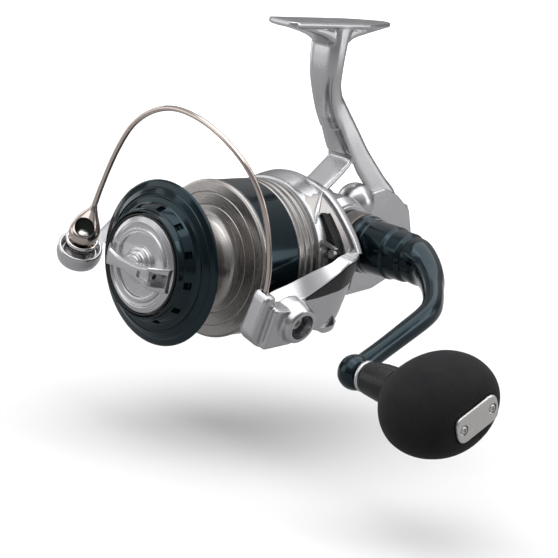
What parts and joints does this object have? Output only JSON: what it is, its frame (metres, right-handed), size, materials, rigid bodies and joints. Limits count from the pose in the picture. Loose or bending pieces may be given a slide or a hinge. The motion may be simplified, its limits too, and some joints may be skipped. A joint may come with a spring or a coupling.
{
  "type": "spinning reel",
  "caption": "Large saltwater fixed-spool fishing reel: turning rotor with folding bail and line roller, sliding spool with front drag knob, crank with ball grip, foot on a forked stem.",
  "frame": {"origin": "centre of the foot's flat seating face, which lies against the rod's reel seat", "axes": "+Z towards the rod, -Y the way the spool faces (towards the rod tip), +X to the crank side"},
  "size_m": [0.2112, 0.1613, 0.1396],
  "materials": {
    "silver_paint": "satin silver paint over cast aluminium",
    "blue_anodised": "gloss dark blue-black anodising",
    "brushed_aluminium": "turned and brushed, warm grey",
    "grey_collar": "matt dark grey",
    "steel": "plain stainless steel",
    "bail_steel": "polished stainless steel with a warm tint",
    "roller_chrome": "polished chrome",
    "brass": "machined",
    "carbon_fibre": "woven carbon friction washer",
    "black_plastic": "satin moulded black",
    "black_rubber": "matt rubber",
    "grip_foam": "matt closed-cell foam"
  },
  "bodies": {
    "body": {"frame": "silver_paint", "side_cover": "silver_paint", "rear_cap": "silver_paint", "cover_screw_1": "steel", "cover_screw_2": "steel", "cover_screw_3": "steel", "left_bore_cap": "blue_anodised", "drive_gear_bearing_left": "steel", "drive_gear_bearing_right": "steel", "handle_collar": "grey_collar", "pinion_bearing": "steel", "roller_clutch": "black_plastic", "guide_rod": "steel"},
    "crank": {"drive_gear": "brass", "drive_gear_shaft": "steel", "handle_cup": "blue_anodised", "handle_arm": "blue_anodised", "knob_shaft": "steel"},
    "knob": {"knob_washer": "silver_paint", "knob_sleeve": "black_plastic", "knob_grip": "grip_foam", "knob_plate": "steel", "knob_plate_screw_1": "steel", "knob_plate_screw_2": "steel"},
    "rotor": {"rotor": "silver_paint", "rotor_nut": "steel", "near_arm_cover": "black_plastic", "far_arm_cover": "black_plastic", "bail_spring": "steel", "pinion_gear": "brass", "clutch_sleeve": "steel"},
    "bail": {"bail_lever": "silver_paint", "bail_lever_screw": "steel", "bail_wire": "bail_steel", "bail_wire_cap": "bail_steel", "roller_arm": "silver_paint", "roller_arm_screw": "steel", "roller_pin": "steel"},
    "line_roller": {"line_roller": "roller_chrome"},
    "worm": {"worm_shaft": "steel", "worm_gear": "black_plastic"},
    "main_shaft": {"main_shaft": "steel", "oscillation_slider": "black_plastic", "spool_seat_collar": "black_plastic", "keyed_washer": "steel"},
    "spool": {"spool_lip_ring": "blue_anodised", "spool_drum": "brushed_aluminium", "spool_skirt": "blue_anodised", "spool_skirt_ring": "silver_paint", "carbon_washer_1": "carbon_fibre", "carbon_washer_2": "carbon_fibre", "pressure_plate": "steel", "drag_retaining_ring": "steel", "spool_bearing_front": "steel", "spool_bearing_rear": "steel", "drag_click_wheel": "black_plastic"},
    "drag_knob": {"drag_knob": "silver_paint", "drag_knob_seal": "black_rubber", "drag_spring": "steel"}
  },
  "joints": [
    {"name": "handle_turn", "type": "hinge", "parent": "body", "child": "crank", "pos_m": [0, 0.0058, -0.0898], "axis": [1, 0, 0], "continuous": true},
    {"name": "knob_spin", "type": "hinge", "parent": "crank", "child": "knob", "pos_m": [0.115, -0.06243, -0.12046], "axis": [1, 0, 0], "continuous": true},
    {"name": "rotor_spin", "type": "hinge", "parent": "body", "child": "rotor", "pos_m": [0, -0.0242, -0.0988], "axis": [0, -1, 0], "continuous": true},
    {"name": "bail_flip", "type": "hinge", "parent": "rotor", "child": "bail", "pos_m": [0, -0.0552, -0.0988], "axis": [0.9659, 0, -0.2588], "range_deg": [0, 105]},
    {"name": "line_roller_spin", "type": "hinge", "parent": "bail", "child": "line_roller", "pos_m": [-0.04685, -0.0857, -0.1025], "axis": [-0.4477, 0.2503, -0.8585], "continuous": true},
    {"name": "worm_spin", "type": "hinge", "parent": "body", "child": "worm", "pos_m": [0.0035, 0.0158, -0.1083], "axis": [0, 1, 0], "continuous": true},
    {"name": "spool_stroke", "type": "slide", "parent": "body", "child": "main_shaft", "axis": [0, -1, 0], "range_m": [0, 0.017]},
    {"name": "spool_spin", "type": "hinge", "parent": "main_shaft", "child": "spool", "pos_m": [0, -0.0692, -0.0988], "axis": [0, -1, 0], "continuous": true},
    {"name": "drag_knob_turn", "type": "hinge", "parent": "main_shaft", "child": "drag_knob", "pos_m": [0, -0.0942, -0.0988], "axis": [0, -1, 0], "range_deg": [-90, 360]}
  ],
  "couplings": [
    {"joint": "rotor_spin", "follows": "handle_turn", "ratio": 4.9},
    {"joint": "worm_spin", "follows": "handle_turn", "ratio": 3.7692}
  ]
}
